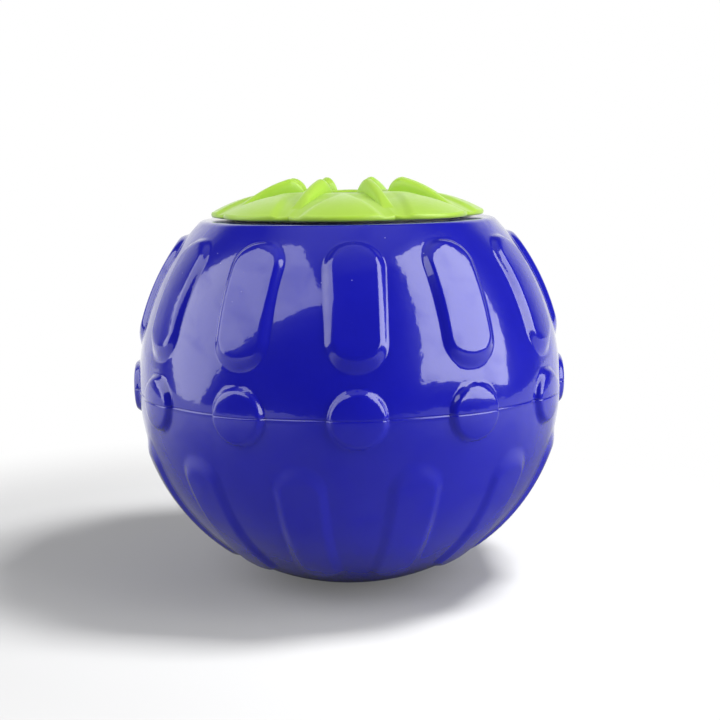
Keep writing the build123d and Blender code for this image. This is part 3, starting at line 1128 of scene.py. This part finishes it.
@dataclass(frozen=True)
class Softbox:
    """Rectangular lamp that faces the ball's axis from a bearing. Metres and degrees.

    The bearing is measured from -Y towards +X. The lamp lies aside and up from there, is tilted down
    and rolled in its own plane.
    """

    name: str
    bearing: float
    distance: float
    aside: float
    lift: float
    width: float
    depth: float
    radiance: float
    tilt: float = 0.0
    roll: float = 0.0

    def build(self, target: Vector) -> Piece:
        """Places the lamp.

        Args:
            target: point that the lamp's plane faces.

        Returns:
            The lamp.
        """
        lamp = bpy.data.lights.new(self.name, "AREA")
        lamp.shape = "RECTANGLE"
        lamp.size = self.width
        lamp.size_y = self.depth
        lamp.energy = self.radiance * math.pi * self.width * self.depth
        away = Vector((math.sin(math.radians(self.bearing)), -math.cos(math.radians(self.bearing)), 0))
        facing = away.to_track_quat("Z", "Y").to_matrix()
        place = target + facing @ Vector((self.aside, self.lift, self.distance))
        tilt = Matrix.Rotation(math.radians(-self.tilt), 3, "X")
        turn = facing @ tilt @ Matrix.Rotation(math.radians(self.roll), 3, "Z")
        holder = bpy.data.objects.new(self.name, lamp)
        holder.matrix_world = Matrix.Translation(place) @ turn.to_4x4()
        holder.visible_camera = False
        bpy.context.scene.collection.objects.link(holder)
        return holder


@dataclass
class Studio:
    """White paper with a lamp of its own, two softboxes, and the camera at the photograph's place.

    Metres and degrees. The room, the hung paper and the ceiling are levels of light by heading, and
    their pairs say where they fade in.
    """

    target: Vector = field(default_factory=lambda: Vector((0, 0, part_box(Half.UPPER.value)[0].z)))
    distance: float = 0.3325
    elevation: float = 9.4
    swing: float = 1.83
    roll: float = 0.83
    lens: float = 68.3
    sensor: float = 36.0
    nearest: float = 0.01
    shift: Pair = (0.01444, 0.029)
    floor_width: float = 0.6
    floor_front: float = 0.33
    floor_waist: Pair = (0.45, 0.05)
    floor_back: Pair = (0.9, 0.6)
    room_light: float = 0.08
    paper_light: float = 0.9
    paper_side: Pair = (0.5, 0.75)
    paper_top: Pair = (0.66, 0.5)
    ceiling_light: float = 0.4
    ceiling_edge: Pair = (0.82, 0.95)
    boxes: tuple[Softbox, ...] = (
        Softbox(
            "right_softbox", bearing=60, distance=0.5, aside=0.063, lift=0.432,
            width=0.49, depth=0.85, radiance=4.7, roll=-8.5,
        ),
        Softbox(
            "left_softbox", bearing=-62, distance=0.5, aside=-0.13, lift=0.467,
            width=1.15, depth=0.65, radiance=2.5, roll=45,
        ),
    )
    paper_key: Softbox = Softbox(
        "paper_key", bearing=80, distance=0.164, aside=0, lift=0.309,
        width=0.085, depth=0.085, radiance=140, tilt=62,
    )

    def floor(self) -> None:
        """Lays the paper that the ball stands on, with a small key lamp that lights nothing else."""
        side = [(self.floor_width / 2, -self.floor_front), self.floor_waist, self.floor_back]
        corners = [(x, y, 0) for x, y in side] + [(-x, y, 0) for x, y in reversed(side)]
        mesh = bpy.data.meshes.new("sweep")
        mesh.from_pydata(corners, [], [range(len(corners))])
        mesh.materials.append(StudioPaper().build())
        sweep = bpy.data.objects.new("sweep", mesh)
        bpy.context.scene.collection.objects.link(sweep)
        lit = bpy.data.collections.new("lit_by_paper_key")
        lit.objects.link(sweep)
        self.paper_key.build(self.target).light_linking.receiver_collection = lit

    def camera(self) -> None:
        """Places the camera."""
        lens = bpy.data.cameras.new("camera")
        lens.lens = self.lens
        lens.sensor_width = self.sensor
        lens.shift_x, lens.shift_y = self.shift
        lens.clip_start = self.nearest
        elevation, swing = math.radians(self.elevation), math.radians(self.swing)
        level = math.cos(elevation)
        away = Vector((-level * math.sin(swing), -level * math.cos(swing), math.sin(elevation)))
        turn = away.to_track_quat("Z", "Y").to_matrix() @ Matrix.Rotation(math.radians(-self.roll), 3, "Z")
        camera = bpy.data.objects.new("camera", lens)
        camera.matrix_world = Matrix.Translation(self.target + away * self.distance) @ turn.to_4x4()
        bpy.context.scene.collection.objects.link(camera)
        bpy.context.scene.camera = camera

    def surroundings(self) -> None:
        """White behind the object for the camera; for the rest a dim room with the paper hung behind."""
        world = bpy.data.worlds.new("studio")
        world.use_nodes = True
        tree = world.node_tree
        way = add(tree, "ShaderNodeSeparateXYZ", {0: add(tree, "ShaderNodeTexCoord")["Generated"]})
        behind = ramp(tree, way["Y"], (*self.paper_side, 0.0, 1.0))
        under = ramp(tree, way["Z"], (*self.paper_top, 0.0, 1.0))
        paper = combine(tree, "MULTIPLY", behind, under)
        wall = ramp(tree, paper, (0.0, 1.0, self.room_light, self.paper_light))
        above = ramp(tree, way["Z"], (*self.ceiling_edge, 0.0, self.ceiling_light))
        level = combine(tree, "ADD", wall, above)
        room = add(tree, "ShaderNodeBackground", {"Color": linear(WHITE), "Strength": level})[0]
        white = add(tree, "ShaderNodeBackground", {"Color": linear(WHITE), "Strength": 1.0})[0]
        seen = add(tree, "ShaderNodeLightPath")["Is Camera Ray"]
        mixed = add(tree, "ShaderNodeMixShader", {0: seen, 1: room, 2: white})[0]
        fill(tree, tree.nodes["World Output"], {"Surface": mixed})
        bpy.context.scene.world = world

    def build(self) -> None:
        """Sets up the floor, the lamps, the surroundings and the camera."""
        self.floor()
        for box in self.boxes:
            box.build(self.target)
        self.surroundings()
        self.camera()
        bpy.context.scene.view_settings.view_transform = "Standard"


def main() -> None:
    """Builds the pieces in order."""
    logging.basicConfig(level=logging.INFO, format="%(name)s: %(message)s")
    Ball().build()
    Seal().build()
    Lid().build()
    Studio().build()


if __name__ == "__main__":
    main()
